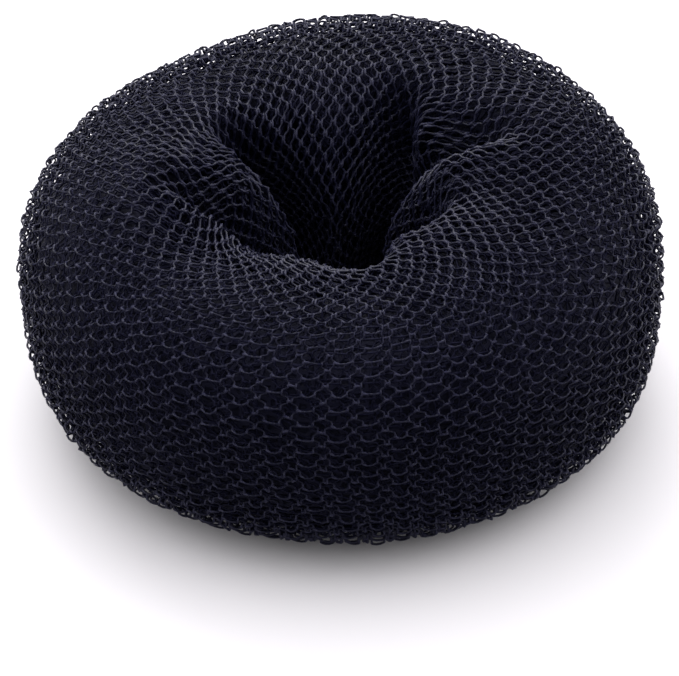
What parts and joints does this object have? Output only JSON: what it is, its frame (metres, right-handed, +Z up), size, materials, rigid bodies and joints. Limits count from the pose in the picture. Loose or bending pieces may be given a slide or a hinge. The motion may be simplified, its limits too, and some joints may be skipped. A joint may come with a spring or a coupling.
{
  "type": "hair donut",
  "caption": "Thick soft ring of rolled black net with a pinched, star-shaped hole, used inside a hair bun.",
  "frame": {"origin": "on the surface that the ring rests on, under the middle of the ring's outline", "axes": "+Z up through the hole, -Y the front as the ring was pictured, +X to the right"},
  "size_m": [0.0904, 0.089, 0.0398],
  "materials": {
    "net": "slightly glossy knitted nylon net, black with a navy cast",
    "packed_net": "dark packed turns of the same net"
  },
  "bodies": {
    "root": {"outer_net": "net", "rolled_core": "packed_net"}
  },
  "joints": []
}
